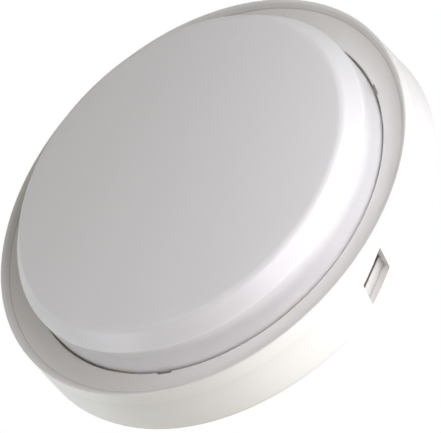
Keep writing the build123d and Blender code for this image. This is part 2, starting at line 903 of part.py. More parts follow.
def save(name, shape):
    """Stands a piece up on the wall and writes it."""
    solids = shape if isinstance(shape, list) else shape.solids()
    whole = solids[0] if len(solids) == 1 else Compound(children=[s.solid() for s in solids])
    export_step(Plane.XZ.location * whole, f"parts/{name}.step")


def build_all():
    """Makes every piece and writes it under its own name."""
    os.makedirs("parts", exist_ok=True)
    save("drum_housing", drum_housing())
    save("diffuser", diffuser())
    save("diffuser_gasket", diffuser_gasket())
    save("base_pan", base_pan())
    save("wall_gasket", wall_gasket())
    for i in range(catch_count):
        turn = Rot(0, 0, catch_angle + 360 * i / catch_count)
        save(f"catch_{i + 1}", turn * catch())
        save(f"catch_spring_{i + 1}", turn * catch_spring())
        save(f"catch_cover_{i + 1}", turn * catch_cover())
    save("catch_cover_screws", catch_cover_screws())
    save("gear_tray", gear_tray())
    save("tray_screws", screws_at(tray_screw_points(), tray_top, screw_bite))
    save("led_board", led_board())
    save("led_packages", led_packages())
    board_screw_length = board_thickness + tray_sheet + board_screw_end
    save("led_board_screws", screws_at(board_screw_points(), board_top, board_screw_length))
    save("led_plug", led_plug())
    save("driver_case", driver_case())
    save("driver_cover", driver_cover())
    driver_seat = driver_tab_bottom + driver_tab_thickness
    driver_screw_length = driver_seat - floor
    save("driver_screws", screws_at(driver_screw_points(), driver_seat, driver_screw_length))
    save("mains_lead_live", mains_lead(0))
    save("mains_lead_neutral", mains_lead(1))
    save("led_lead_positive", led_lead(0))
    save("led_lead_negative", led_lead(1))
    save("terminal_block", terminal_block())
    save("terminal_screws", terminal_screws())
    terminal_seat = terminal_top - terminal_step
    fixing_length = terminal_seat - floor + terminal_screw_bite
    save("terminal_fixing_screws", screws_at(terminal_screw_points(), terminal_seat, fixing_length))
    save("cord_clamp", cord_clamp())
    clamp_seat = floor + clamp_post_height + clamp_thickness
    save("cord_clamp_screws", screws_at(clamp_screw_points(), clamp_seat, clamp_thickness + screw_bite))
    save("cable_grommet", cable_grommet())


build_all()
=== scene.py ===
import json
from functools import reduce
from math import asin, atan2, cos, hypot, pi, radians, sin, tan

import bmesh
import bpy
from mathutils import Matrix, Vector, noise


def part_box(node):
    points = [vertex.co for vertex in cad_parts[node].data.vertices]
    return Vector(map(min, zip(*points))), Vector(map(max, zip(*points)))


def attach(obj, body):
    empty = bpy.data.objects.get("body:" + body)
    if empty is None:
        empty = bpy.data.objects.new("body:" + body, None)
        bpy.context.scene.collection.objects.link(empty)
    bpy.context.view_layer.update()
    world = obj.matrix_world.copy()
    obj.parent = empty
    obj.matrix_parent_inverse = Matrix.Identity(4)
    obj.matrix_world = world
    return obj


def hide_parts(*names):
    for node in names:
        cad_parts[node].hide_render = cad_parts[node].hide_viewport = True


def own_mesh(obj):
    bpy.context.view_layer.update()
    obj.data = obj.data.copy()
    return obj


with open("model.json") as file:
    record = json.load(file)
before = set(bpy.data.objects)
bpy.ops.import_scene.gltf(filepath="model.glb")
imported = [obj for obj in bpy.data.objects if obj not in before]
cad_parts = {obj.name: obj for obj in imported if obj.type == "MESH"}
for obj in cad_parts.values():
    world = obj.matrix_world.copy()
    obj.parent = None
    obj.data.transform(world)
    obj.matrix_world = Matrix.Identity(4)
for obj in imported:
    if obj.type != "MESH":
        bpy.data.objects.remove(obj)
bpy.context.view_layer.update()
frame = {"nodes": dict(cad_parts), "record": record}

# The light stands on the wall plane Y = 0 and faces -Y. Sizes are in metres, and a depth is a
# distance from the wall. Sections are drawn in the plane Z = 0 and turned about the Y axis. Sizes
# that the frame doesn't give repeat the part's source, apart from small rounded edges, and the
# windows, the catches' noses, the lip's drop and the ring's dish, which follow the photograph.
MM = 0.001
TINY = 1e-6
DRUM_LOW, DRUM_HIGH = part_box("drum_housing")
DRUM_FLARE = 1.3 * MM
DRUM_REAR_RADIUS = DRUM_HIGH.x
DRUM_RADIUS = 150.0 * MM
DRUM_REAR = -DRUM_HIGH.y
DRUM_DEPTH = -DRUM_LOW.y
DRUM_WALL = 2.2 * MM
REAR_EDGE_ROUND = 0.5 * MM
LIP_WIDTH = 2.4 * MM
LIP_DROP = 0.6 * MM
LIP_ROUND = 1.0 * MM
RING_OUTER = (145.2 * MM, 36.8 * MM)  # radius and depth of the ring's outer edge
RING_INNER = (129.4 * MM, 33.0 * MM)  # and of its inner edge
RING_DISH = 0.75 * MM
RING_STEPS = 10
RING_EDGE_ROUND = 0.35 * MM
RING_UNDERSIDE = RING_INNER[1] - DRUM_WALL

DIFFUSER_RADIUS = 128.0 * MM
DIFFUSER_WALL = 2.0 * MM
DIFFUSER_BASE = -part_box("diffuser")[1].y
DIFFUSER_FRONT = -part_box("diffuser")[0].y
DOME_RISE = 3.0 * MM
BEVEL_WIDTH = 8.7 * MM
BEVEL_HEIGHT = 11.7 * MM
DIFFUSER_DRAFT = 0.2 * MM
CREASE_ROUND = 2.0 * MM
FACE_ROUND = 6.0 * MM
DOME_STEPS = 24

LUG_COUNT = 3
LUG_WIDTH = 10.0 * MM
LUG_REACH = 2.4 * MM
LUG_THICKNESS = 2.6 * MM
LUG_CLEARANCE = 0.4 * MM
NOTCH_ANGLE = radians(16.8)
BAYONET_TURN = radians(9.5)
STOP_WIDTH = 1.6 * MM
STOP_CLEARANCE = 0.3 * MM
STOP_REACH = 2.4 * MM

GASKET_LOW, GASKET_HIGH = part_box("diffuser_gasket")
GASKET_BOTTOM = -GASKET_HIGH.y
GASKET_EDGE = GASKET_HIGH.z
GASKET_WIDTH = 5.0 * MM
GASKET_SKIRT_WALL = 1.1 * MM
GASKET_FLANGE_THICKNESS = 1.5 * MM
GASKET_ROUND = 0.3 * MM
RIM_RADIUS = 126.5 * MM
RIM_WALL = 2.0 * MM
RIM_TOP = 25.5 * MM
# Tabs of the gasket in the gap: the two that show, and their mirror copies above
TAB_ANGLES = (radians(-60.0), radians(-118.6), radians(60.0), radians(118.6))
TAB_WIDTHS = (24.5 * MM, 15.0 * MM, 24.5 * MM, 15.0 * MM)
TAB_WALL = 0.8 * MM
TAB_TOP = -GASKET_LOW.y
TAB_RIPPLE = 0.5 * MM
TAB_WAVES = 3.0
TAB_STEPS = 48

ENTRY_RADIUS = 10.0 * MM
ENTRY_LIP = 3.0 * MM
ENTRY_LIP_THICKNESS = 1.2 * MM
ENTRY_BORE_RADIUS = 4.5 * MM
FLOOR_THICKNESS = 3.0 * MM
GROMMET_HEAD = 1.6 * MM
GROMMET_HEAD_WALL = 1.5 * MM
GROMMET_CLEARANCE = 0.1 * MM
GROMMET_LIP_CLEARANCE = 0.3 * MM
WALL_GASKET_DEPTH = 1.5 * MM
WALL_GASKET_WIDTH = 6.0 * MM
WALL_GASKET_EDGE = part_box("wall_gasket")[1].x

CATCH_COUNT = 3
CATCH_ANGLE = radians(-40.8)
WINDOW_LENGTH = 25.8 * MM
WINDOW_WIDTH = 16.8 * MM
WINDOW_SLANT = radians(15.0)
WINDOW_LEAN = radians(76.0)
WINDOW_DEPTH = 17.45 * MM
WINDOW_ROUND = 0.6 * MM
WINDOW_EDGE_ROUND = 0.3 * MM
NEAR_WALL = 0.1 * MM
COLLAR_WALL = 1.8 * MM
COLLAR_DEPTH = 8.2 * MM

# Distances of the catches' springs, necks and noses from the light's axis, and gaps round the noses
NECK_CUT = 139.2 * MM
NOSE_BACK = 139.1 * MM
NOSE_LEDGE = 141.0 * MM
NOSE_FACE = 145.1 * MM
NOSE_GAP = 0.3 * MM
NOSE_FRONT_GAP = 8.6 * MM
NOSE_ROUND = 0.35 * MM

GUSSET_COUNT = 12
GUSSET_THICKNESS = 1.6 * MM
GUSSET_HEIGHT = 9.0 * MM
GUSSET_REACH = 8.0 * MM

# Painted shade lies in the window pockets between two radii and in the gaps below the nose faces, and
# painted shade with some dust lies along the ring's edges. Each fades out from its first distance to
# its second.
POCKET_INSIDE = 141.0 * MM
POCKET_OUTSIDE = 150.8 * MM
NOSE_SHADE_FULL = 0.5 * MM
NOSE_SHADE_NONE = 0.2 * MM
CORNER_SHADE_DUST_FULL = 0.1 * MM
CORNER_SHADE_DUST_NONE = 0.8 * MM
# Dust specks and the painted shade above both darken towards this colour.
DUST_AND_SHADE_COLOUR = (0.42, 0.37, 0.33)
DUST_COLOUR = (0.50, 0.47, 0.43)
SPECK_CORE = 0.4
SPECK_STEP = 0.004

TRACK_PITCH = 5.5 * MM
TRACK_EDGE_LOW = 2.2 * MM
TRACK_EDGE_HIGH = 2.5 * MM
PACKAGE_FRONT = -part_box("led_packages")[0].y
PHOSPHOR_DEPTH = 0.1 * MM
PHOSPHOR_FADE = 0.08 * MM
OPAL_GLOW = 4.0 * MM
PLASTIC_GLOW = 1.0 * MM

TURN_STEPS = 288
SMOOTH_ANGLE = radians(32)
SHARP_ANGLE = radians(40)
RIM_ANGLE = radians(50)
FLAT_ANGLE = radians(1)

# Where the photograph was taken from
VIEW_AZIMUTH = radians(30.9)
VIEW_ELEVATION = radians(-39.33)
VIEW_DISTANCE = 3.1826
VIEW_AIM = Vector((0.0067, -0.0256, -0.0114))
VIEW_LENS = 410.3
VIEW_NEAR = 0.1
VIEW_FAR = 30.0
SENSOR_WIDTH = 36.0
FLOOR_HEIGHT = -8.0
FLOOR_REACH = 40.0


def catch_angle(index):
    """Where a catch and its window are, counted about the light's axis from +X to +Z."""
    return CATCH_ANGLE + 2 * pi * index / CATCH_COUNT


def toward_camera():
    """Unit vector from the light towards the camera."""
    level = cos(VIEW_ELEVATION)
    return Vector((sin(VIEW_AZIMUTH) * level, -cos(VIEW_AZIMUTH) * level, sin(VIEW_ELEVATION)))


def add_camera():
    """The camera of the photograph: a long lens, below the light and to its right."""
    data = bpy.data.cameras.new("camera")
    data.lens = VIEW_LENS
    data.sensor_width = SENSOR_WIDTH
    data.clip_start = VIEW_NEAR
    data.clip_end = VIEW_FAR
    camera = bpy.data.objects.new("camera", data)
    bpy.context.scene.collection.objects.link(camera)
    back = toward_camera()
    camera.location = VIEW_AIM + VIEW_DISTANCE * back
    camera.rotation_mode = "QUATERNION"
    camera.rotation_quaternion = (-back).to_track_quat("-Z", "Y")
    bpy.context.scene.camera = camera


# Shader maths. The Mix node's sockets for colours are known by their places.
MIX_SHARE, MIX_FIRST, MIX_SECOND, MIX_RESULT = 0, 6, 7, 2


class Value:
    """A number on a shader socket. Python's operators on it add Math nodes."""

    def __init__(self, shading, socket):
        self.shading = shading
        self.socket = socket

    def __add__(self, other):
        return self.shading.math("ADD", self, other)

    __radd__ = __add__

    def __sub__(self, other):
        return self.shading.math("SUBTRACT", self, other)

    def __rsub__(self, other):
        return self.shading.math("SUBTRACT", other, self)

    def __mul__(self, other):
        return self.shading.math("MULTIPLY", self, other)

    __rmul__ = __mul__

    def over(self, low, high):
        """0 below low, 1 above high, smooth between them."""
        inputs = {"Value": self, "From Min": low, "From Max": high}
        return self.shading.node("MapRange", {"interpolation_type": "SMOOTHSTEP"}, inputs)


class Shading:
    """A node tree being filled, of a material or of the world."""

    def __init__(self, tree):
        self.tree = tree

    def node(self, kind, settings=None, inputs=None, output=0):
        """Adds a shader node: its settings first, then the values or links of its sockets."""
        made = self.tree.nodes.new("ShaderNode" + kind)
        for name, value in (settings or {}).items():
            setattr(made, name, value)
        for name, value in (inputs or {}).items():
            self.feed(made.inputs[name], value)
        return Value(self, made.outputs[output])

    def feed(self, socket, value):
        """Links a value to a socket, or sets a plain number or colour on it."""
        if isinstance(value, Value):
            self.tree.links.new(value.socket, socket)
        elif socket.type == "RGBA" and len(value) == 3:
            socket.default_value = (*value, 1.0)
        else:
            socket.default_value = value

    def math(self, operation, *terms):
        """A Math node."""
        return self.node("Math", {"operation": operation}, dict(enumerate(terms)))


class Finish(Shading):
    """A material being made: a Principled shader and the nodes that feed it."""

    def __init__(self, name, **sockets):
        self.material = bpy.data.materials.new(name)
        self.material.use_nodes = True
        super().__init__(self.material.node_tree)
        self.shader = self.tree.nodes["Principled BSDF"]
        self.place = self.node("TexCoord", output="Object")
        for socket, value in sockets.items():
            self.set(socket.replace("_", " "), value)

    def set(self, socket, value):
        """Gives the material's shader a value or a link."""
        self.feed(self.shader.inputs[socket], value)

    def noise(self, scale, detail=3.0, roughness=0.5, stretch=(1.0, 1.0, 1.0)):
        """Noise from 0 to 1, with its features about 1 / scale metres apart."""
        place = self.node("Mapping", {}, {"Vector": self.place, "Scale": stretch}, "Vector")
        inputs = {"Vector": place, "Scale": scale, "Detail": detail, "Roughness": roughness}
        return self.node("TexNoise", {}, inputs, "Fac")

    def cells(self, scale, output="Distance"):
        """Distance to the nearest of scattered points, or another output of the pattern."""
        return self.node("TexVoronoi", {}, {"Vector": self.place, "Scale": scale}, output)

    def specks(self, scale, size, share):
        """Round specks in a share of the pattern's cells. Their size is a share of a cell."""
        near = 1 - self.cells(scale).over(SPECK_CORE * size, size)
        chance = self.node("SeparateColor", {}, {"Color": self.cells(scale, "Color")}, "Red")
        return near * chance.over(1 - share, 1 - share + SPECK_STEP)

    def mix(self, share, first, second):
        """A colour between two colours."""
        inputs = {MIX_SHARE: share, MIX_FIRST: first, MIX_SECOND: second}
        return self.node("Mix", {"data_type": "RGBA"}, inputs, MIX_RESULT)

    def part(self, axis):
        """One coordinate of the pattern's place: "X", "Y" or "Z"."""
        return self.node("SeparateXYZ", {}, {"Vector": self.place}, axis)

    def length(self, across, along):
        """How far a place is from another, by its two distances."""
        return self.math("SQRT", across * across + along * along)

    def radius(self):
        """Distance of the pattern's place from the light's axis."""
        return self.length(self.part("X"), self.part("Z"))

    def glow_through(self, weight, reach):
        """Lets light in, to come out again up to about reach away."""
        self.set("Subsurface Weight", weight)
        self.set("Subsurface Radius", (1.0, 1.0, 1.0))
        self.set("Subsurface Scale", reach)

    def bump(self, height, distance, strength=1.0):
        """Puts a relief on the surface. Height is a Value, and distance is its size in metres."""
        inputs = {"Height": height, "Distance": distance, "Strength": strength}
        self.set("Normal", self.node("Bump", {}, inputs, "Normal"))


def moulded(name, colour, tint, roughness, shade_and_dirt=None):
    """Moulded plastic: fine spark-eroded grain, faint flow shading, rubbed patches and dust specks.

    The last argument, where there is any, adds painted shade, partly with dust, to the finish.
    """
    finish = Finish(name, Specular_IOR_Level=0.5)
    finish.glow_through(0.5, PLASTIC_GLOW)
    flow = finish.noise(scale=9.0, detail=2.0)
    rubbed = finish.noise(scale=38.0, detail=4.0, roughness=0.6).over(0.52, 0.72)
    fine = finish.noise(scale=2600.0, detail=2.0, roughness=0.6)
    small_dust = finish.specks(scale=330.0, size=0.08, share=0.12)
    large_dust = finish.specks(scale=90.0, size=0.05, share=0.05)
    dust = finish.math("MAXIMUM", small_dust, large_dust)
    shade = finish.mix(flow, colour, tint)
    # Dust specks, then painted shade from the last argument, darken the colour and roughen the
    # surface.
    dust_and_shade = dust * 0.5
    if shade_and_dirt:
        dust_and_shade = finish.math("MAXIMUM", dust_and_shade, shade_and_dirt(finish))
    finish.set("Base Color", finish.mix(dust_and_shade, shade, DUST_AND_SHADE_COLOUR))
    finish.set("Roughness", roughness + (fine - 0.5) * 0.1 + rubbed * 0.03 + dust_and_shade * 0.3)
    finish.bump(fine, 0.012 * MM)
    return finish.material


def corner_shade_and_dust(finish):
    """Painted shade with some dust along both edges of the drum's ring, and a little painted shade in
    the pockets behind the windows.
    """
    radius, out = finish.radius(), finish.part("Y")
    from_corner = finish.length(radius - RING_OUTER[0], out + RING_OUTER[1])
    from_edge = finish.length(radius - RING_INNER[0], out + RING_INNER[1])
    patchy = 0.35 + finish.noise(scale=60.0, detail=3.0) * 0.5
    line = 1 - finish.math("MINIMUM", from_corner, from_edge).over(CORNER_SHADE_DUST_FULL, CORNER_SHADE_DUST_NONE)
    within = 1 - radius.over(POCKET_OUTSIDE - MM, POCKET_OUTSIDE)
    beyond = radius.over(POCKET_INSIDE, POCKET_INSIDE + MM)
    behind = out.over(-RING_UNDERSIDE, -RING_UNDERSIDE + MM)
    # Painted shade on the walls of the window pockets.
    pocket = within * beyond * behind * (0.04 + patchy * 0.28)
    return finish.math("MAXIMUM", line * patchy * 0.75, pocket)


def gap_shade(finish):
    """Painted shade: dark in the gaps round the catches' noses, below their faces."""
    across, up = finish.part("X"), finish.part("Z")
    angles = [catch_angle(index) for index in range(CATCH_COUNT)]
    outward = [across * cos(angle) + up * sin(angle) for angle in angles]
    farthest = reduce(lambda one, other: finish.math("MAXIMUM", one, other), outward)
    below = 1 - farthest.over(NOSE_FACE - NOSE_SHADE_FULL, NOSE_FACE - NOSE_SHADE_NONE)
    return below * 0.95


def opal():
    """Opal moulding, slightly translucent, with faint clouds in its gloss and fine dust."""
    finish = Finish("opal", Specular_IOR_Level=0.5)
    finish.glow_through(1.0, OPAL_GLOW)
    cloud = finish.noise(scale=7.0, detail=2.0)
    smudge = finish.noise(scale=17.0, detail=2.0, roughness=0.5).over(0.3, 0.8)
    fine = finish.noise(scale=1500.0, detail=2.0)
    small_specks = finish.specks(scale=300.0, size=0.07, share=0.1)
    large_specks = finish.specks(scale=80.0, size=0.04, share=0.04)
    speck = finish.math("MAXIMUM", small_specks, large_specks)
    tone = finish.mix(cloud, (0.752, 0.750, 0.762), (0.768, 0.766, 0.774))
    finish.set("Base Color", finish.mix(speck * 0.5, tone, DUST_COLOUR))
    finish.set("Roughness", 0.31 + smudge * 0.025 + (cloud - 0.5) * 0.01 + speck * 0.2)
    finish.bump(fine, 0.004 * MM)
    return finish.material


def silicone():
    """Pale silicone with a dull bloom, aged to olive-yellow on the tabs that stand in the gap."""
    finish = Finish("silicone", Specular_IOR_Level=0.4)
    bloom = finish.noise(scale=120.0, detail=3.0)
    fine = finish.noise(scale=1800.0, detail=2.0)
    aged = (0 - finish.part("Y")).over(DIFFUSER_BASE + 0.1 * MM, DIFFUSER_BASE + 0.6 * MM)
    pale = finish.mix(bloom, (0.82, 0.79, 0.70), (0.86, 0.83, 0.76))
    olive = finish.mix(bloom, (0.47, 0.40, 0.10), (0.56, 0.50, 0.20))
    finish.set("Base Color", finish.mix(aged, pale, olive))
    finish.set("Roughness", 0.42 + bloom * 0.2)
    finish.bump(fine, 0.02 * MM)
    return finish.material


def foam():
    """Closed-cell foam with open cut cells."""
    finish = Finish("foam", Specular_IOR_Level=0.2)
    cell = finish.cells(1400.0)
    patch = finish.noise(scale=90.0, detail=3.0)
    finish.set("Base Color", finish.mix(patch, (0.10, 0.10, 0.105), (0.17, 0.17, 0.175)))
    finish.set("Roughness", 0.8 + patch * 0.15)
    finish.bump(cell, 0.25 * MM)
    return finish.material


def enamel(name, colour):
    """White baked enamel on sheet steel, with faint orange peel."""
    finish = Finish(name, Specular_IOR_Level=0.5)
    peel = finish.noise(scale=700.0, detail=1.0)
    patch = finish.noise(scale=14.0, detail=2.0)
    mark = finish.noise(scale=160.0, detail=4.0, roughness=0.7).over(0.66, 0.74)
    dull = [0.86 * c for c in colour]
    finish.set("Base Color", finish.mix(mark * 0.4, colour, dull))
    finish.set("Roughness", 0.28 + patch * 0.12 + mark * 0.1)
    finish.bump(peel, 0.02 * MM)
    return finish.material


def solder_mask():
    """White solder mask over ring-shaped copper tracks, which show as shallow steps."""
    finish = Finish("solder_mask", Specular_IOR_Level=0.5)
    track = finish.math("PINGPONG", finish.radius(), TRACK_PITCH).over(TRACK_EDGE_LOW, TRACK_EDGE_HIGH)
    patch = finish.noise(scale=30.0, detail=3.0)
    fine = finish.noise(scale=900.0, detail=2.0)
    finish.set("Base Color", finish.mix(track, (0.80, 0.80, 0.77), (0.86, 0.86, 0.84)))
    finish.set("Roughness", 0.3 + patch * 0.15)
    finish.bump(track + fine * 0.15, 0.06 * MM)
    return finish.material


def phosphor():
    """LED package: white body with a yellow phosphor face."""
    finish = Finish("phosphor", Specular_IOR_Level=0.5)
    face_start = PACKAGE_FRONT - PHOSPHOR_DEPTH
    face = (0 - finish.part("Y")).over(face_start, face_start + PHOSPHOR_FADE)
    grain = finish.noise(scale=3000.0, detail=2.0)
    yellow = finish.mix(grain, (0.78, 0.62, 0.08), (0.88, 0.74, 0.18))
    finish.set("Base Color", finish.mix(face, (0.82, 0.82, 0.78), yellow))
    finish.set("Roughness", 0.35 + grain * 0.2)
    return finish.material


def rubber(name, colour):
    """Moulded rubber, matt with a lighter bloom."""
    finish = Finish(name, Specular_IOR_Level=0.3)
    bloom = finish.noise(scale=130.0, detail=4.0)
    fine = finish.noise(scale=2500.0, detail=2.0)
    pale = [c + 0.035 for c in colour]
    finish.set("Base Color", finish.mix(bloom.over(0.4, 0.7), colour, pale))
    finish.set("Roughness", 0.55 + bloom * 0.25)
    finish.bump(fine, 0.03 * MM)
    return finish.material


def insulation(name, colour):
    """PVC insulation with a waxy sheen."""
    finish = Finish(name, Specular_IOR_Level=0.45)
    wax = finish.noise(scale=240.0, detail=3.0)
    fine = finish.noise(scale=1500.0, detail=1.0)
    dull = [0.8 * c + 0.02 for c in colour]
    finish.set("Base Color", finish.mix(wax, colour, dull))
    finish.set("Roughness", 0.3 + wax * 0.18)
    finish.bump(fine, 0.02 * MM)
    return finish.material


def metal(name, colour, roughness, stain):
    """Bright or plated metal with fine scratches and stains."""
    finish = Finish(name, Metallic=1.0)
    patch = finish.noise(scale=300.0, detail=4.0, roughness=0.65)
    scratch = finish.noise(scale=900.0, detail=2.0, roughness=0.5, stretch=(1.0, 0.06, 1.0))
    finish.set("Base Color", finish.mix(patch.over(0.45, 0.75), colour, stain))
    finish.set("Roughness", roughness + patch * 0.15 + (scratch - 0.5) * 0.12)
    finish.bump(scratch, 0.01 * MM)
    return finish.material


# Shapes

def new_piece(name, bm, body, finish, replaced):
    """A finished mesh as a piece that rides on a body and stands for its CAD node."""
    bmesh.ops.recalc_face_normals(bm, faces=bm.faces)
    mesh = bpy.data.meshes.new(name)
    bm.to_mesh(mesh)
    bm.free()
    piece = bpy.data.objects.new(name, mesh)
    bpy.context.scene.collection.objects.link(piece)
    shade(piece)
    mesh.materials.append(finish)
    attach(piece, body)
    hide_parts(replaced)
    return piece


def shade(piece):
    """Smooth shading, with edges above the smooth angle kept sharp."""
    piece.data.shade_smooth()
    piece.data.set_sharp_from_angle(angle=SMOOTH_ANGLE)


def at(radius, depth):
    """A point of a section."""
    return Vector((radius, -depth, 0.0))


def section(bm, corners):
    """A closed flat face with its corners at (radius, depth), each rounded by its own size."""
    verts = [bm.verts.new(at(radius, depth)) for radius, depth, _ in corners]
    bm.faces.new(verts)
    for size in sorted({size for _, _, size in corners if size > 0}):
        chosen = [v for v, corner in zip(verts, corners) if corner[2] == size]
        round_verts(bm, chosen, size)


def round_verts(bm, verts, size, segments=6):
    """Rounds corners of a flat outline."""
    bmesh.ops.bevel(
        bm,
        geom=verts,
        offset=size,
        offset_type="OFFSET",
        segments=segments,
        profile=0.5,
        affect="VERTICES",
        clamp_overlap=False,
        material=-1,
    )


def fillet(bm, vert, radius, segments=10):
    """Rounds a corner of a chain with an arc of this radius."""
    first, second = (edge.other_vert(vert).co - vert.co for edge in vert.link_edges)
    turn = pi - first.angle(second)
    round_verts(bm, [vert], radius * tan(turn / 2), segments)


def round_edges(bm, edges, size, segments=3):
    """Rounds edges of a solid."""
    bmesh.ops.bevel(
        bm,
        geom=edges,
        offset=size,
        offset_type="OFFSET",
        segments=segments,
        profile=0.5,
        affect="EDGES",
        clamp_overlap=True,
        material=-1,
    )


def turn_outline(bm):
    """Turns a flat outline full circle about the light's axis, into a closed skin."""
    bmesh.ops.delete(bm, geom=bm.faces[:], context="FACES_ONLY")
    on_axis = [e for e in bm.edges if all(abs(v.co.x) < TINY for v in e.verts)]
    bmesh.ops.delete(bm, geom=on_axis, context="EDGES")
    bmesh.ops.spin(
        bm,
        geom=bm.verts[:] + bm.edges[:],
        cent=(0.0, 0.0, 0.0),
        axis=(0.0, 1.0, 0.0),
        angle=2 * pi,
        steps=TURN_STEPS,
        use_merge=True,
    )
    bmesh.ops.remove_doubles(bm, verts=bm.verts, dist=TINY)
    bmesh.ops.recalc_face_normals(bm, faces=bm.faces)


def turned_about(angle):
    """The turn about the light's axis that brings +X to this angle, counted from +X to +Z."""
    return Matrix.Rotation(-angle, 4, "Y")


def brick(bm, radial, sideways, depths):
    """A box at angle zero, from ranges of radius, sideways distance and depth. Returns its verts."""
    made = bmesh.ops.create_cube(bm, size=1.0)["verts"]
    size = (radial[1] - radial[0], depths[1] - depths[0], sideways[1] - sideways[0])
    middle = (sum(radial) / 2, -sum(depths) / 2, sum(sideways) / 2)
    bmesh.ops.scale(bm, verts=made, vec=size)
    bmesh.ops.translate(bm, verts=made, vec=middle)
    return made


def window_brick(bm, length, width, radial, corner_round=0.0, shift=0.0):
    """A block in line with a side window at angle zero: a parallelogram, like the window.

    Its length runs at WINDOW_SLANT from the drum's edge and its width at WINDOW_LEAN. Its long
    edges are rounded. Shift moves it along its width, to the front.
    """
    made = brick(bm, radial, (-length / 2, length / 2), (shift - width / 2, shift + width / 2))
    if corner_round > 0:
        edges = {e for v in made for e in v.link_edges}
        long = [e for e in edges if abs((e.verts[0].co - e.verts[1].co).x) > TINY]
        round_edges(bm, long, corner_round)
    skew = Matrix((
        (1.0, 0.0, 0.0, 0.0),
        (0.0, sin(WINDOW_LEAN), -sin(WINDOW_SLANT), -WINDOW_DEPTH),
        (0.0, -cos(WINDOW_LEAN), cos(WINDOW_SLANT), 0.0),
        (0.0, 0.0, 0.0, 1.0),
    ))
    bmesh.ops.transform(bm, matrix=skew, verts=bm.verts)


def copied_around(make, count, first):
    """Several copies of a shape in one mesh, spaced evenly about the light's axis."""
    whole = bmesh.new()
    for i in range(count):
        one = bmesh.new()
        make(one)
        bmesh.ops.transform(one, matrix=turned_about(first + 2 * pi * i / count), verts=one.verts)
        mesh = bpy.data.meshes.new("copy")
        one.to_mesh(mesh)
        one.free()
        whole.from_mesh(mesh)
        bpy.data.meshes.remove(mesh)
    return whole


def combine(bm, tool, operation):
    """Adds a shape to a solid, or cuts it out. Both are used up, and the result is a new bmesh."""
    objects = []
    for name, part in (("solid", bm), ("tool", tool)):
        mesh = bpy.data.meshes.new(name)
        bmesh.ops.recalc_face_normals(part, faces=part.faces)
        part.to_mesh(mesh)
        part.free()
        one = bpy.data.objects.new(name, mesh)
        bpy.context.scene.collection.objects.link(one)
        objects.append(one)
    solid, other = objects
    step = solid.modifiers.new("combine", "BOOLEAN")
    step.operation = operation
    step.solver = "EXACT"
    step.object = other
    graph = bpy.context.evaluated_depsgraph_get()
    result = bmesh.new()
    result.from_mesh(solid.evaluated_get(graph).to_mesh())
    for one in objects:
        mesh = one.data
        bpy.data.objects.remove(one)
        bpy.data.meshes.remove(mesh)
    return result


def ring_points():
    """Points of the ring's section between its edges. It is slightly dished."""
    made = []
    for step in range(1, RING_STEPS):
        share = step / RING_STEPS
        radius, depth = (a + (b - a) * share for a, b in zip(RING_OUTER, RING_INNER))
        made.append((radius, depth - 4 * RING_DISH * share * (1 - share), 0.0))
    return made


def drum_outline(bm):
    """Section of the drum housing: side wall, lip, sloped inner wall and ring."""
    section(bm, [
        (DRUM_REAR_RADIUS, DRUM_REAR, REAR_EDGE_ROUND),
        (DRUM_RADIUS, DRUM_DEPTH, LIP_ROUND),
        (DRUM_RADIUS - LIP_WIDTH, DRUM_DEPTH - LIP_DROP, LIP_ROUND),
        (*RING_OUTER, LIP_ROUND / 2),
        *ring_points(),
        (*RING_INNER, RING_EDGE_ROUND),
        (RING_INNER[0], RING_UNDERSIDE, 0.0),
        (DRUM_RADIUS - DRUM_WALL, RING_OUTER[1] - DRUM_WALL, 0.0),
        (DRUM_REAR_RADIUS - DRUM_WALL, DRUM_REAR, 0.0),
    ])


def wall_radius(depth):
    """Outer radius of the drum's side wall at a depth."""
    return DRUM_RADIUS + DRUM_FLARE * (DRUM_DEPTH - depth) / (DRUM_DEPTH - DRUM_REAR)


